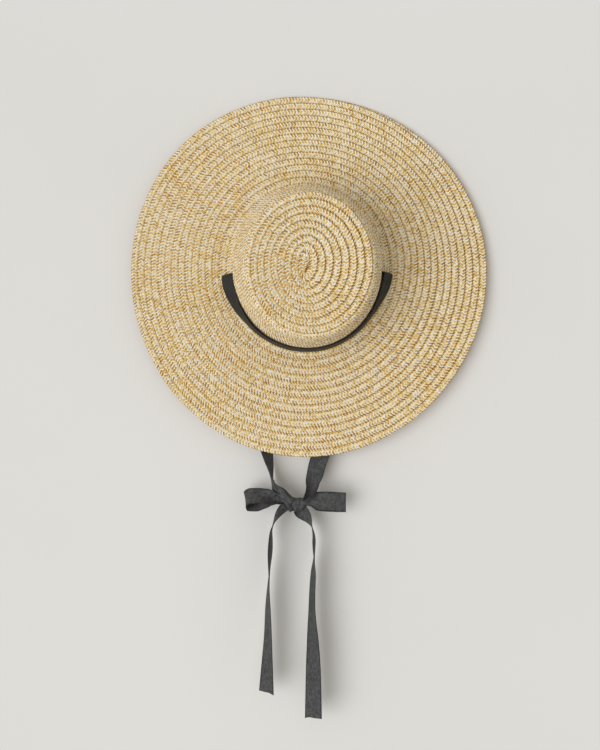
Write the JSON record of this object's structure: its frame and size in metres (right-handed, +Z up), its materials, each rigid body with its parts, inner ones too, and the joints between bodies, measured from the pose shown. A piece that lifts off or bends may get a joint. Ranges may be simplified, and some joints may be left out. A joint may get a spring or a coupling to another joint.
{
  "type": "wide-brimmed straw sun hat with ribbon ties",
  "caption": "Wide, nearly flat round brim and oval flat-topped crown sewn from plaited straw, with a dark grosgrain ribbon through side slits, tied in a bow.",
  "frame": {"origin": "centre of the head opening, in the plane where the crown's side meets the brim", "axes": "as the hat hangs on a wall: +Z up, with the ribbon and bow below; +Y out of the head opening, towards the wall or the wearer's chin; the crown's tip points to -Y; +X to the viewer's right"},
  "size_m": [0.4035, 0.1136, 0.7084],
  "materials": {
    "straw": "plaited wheat straw, natural golden with pale glints, satin",
    "straw_edge": "plaited wheat straw, the finished edge row, satin",
    "sweatband": "cream cotton grosgrain, matte",
    "thread": "cream sewing thread, matte",
    "ribbon": "charcoal grosgrain ribbon, fine cross ribs, matte with a soft sheen"
  },
  "bodies": {
    "hat": {"crown_tip": "straw", "crown_wall": "straw", "brim": "straw", "brim_edge": "straw_edge", "sweatband": "sweatband", "sweatband_stitching": "thread", "ribbon_band": "ribbon"},
    "tied_ribbon": {"tie_left": "ribbon", "tie_right": "ribbon", "bow_knot": "ribbon"},
    "loop_left": {"bow_loop_left": "ribbon"},
    "loop_right": {"bow_loop_right": "ribbon"},
    "tail_left": {"tail_left": "ribbon"},
    "tail_right": {"tail_right": "ribbon"}
  },
  "joints": [
    {"name": "tie_swing", "type": "hinge", "parent": "hat", "child": "tied_ribbon", "pos_m": [0.002, 0.0052, -0.0105], "axis": [0.9996, 0, 0.0279], "range_deg": [0, 100]},
    {"name": "loop_left_swing", "type": "hinge", "parent": "tied_ribbon", "child": "loop_left", "pos_m": [-0.03005, 0.0117, -0.2635], "axis": [0, 0, 1], "range_deg": [-8, 50]},
    {"name": "loop_right_swing", "type": "hinge", "parent": "tied_ribbon", "child": "loop_right", "pos_m": [0.00405, 0.0117, -0.265], "axis": [0, 0, 1], "range_deg": [-50, 8]},
    {"name": "tail_left_swing", "type": "hinge", "parent": "tied_ribbon", "child": "tail_left", "pos_m": [-0.032, 0.0162, -0.28], "axis": [1, 0, 0], "range_deg": [-80, 0]},
    {"name": "tail_right_swing", "type": "hinge", "parent": "tied_ribbon", "child": "tail_right", "pos_m": [0.001, 0.0162, -0.282], "axis": [1, 0, 0], "range_deg": [-80, 0]}
  ]
}
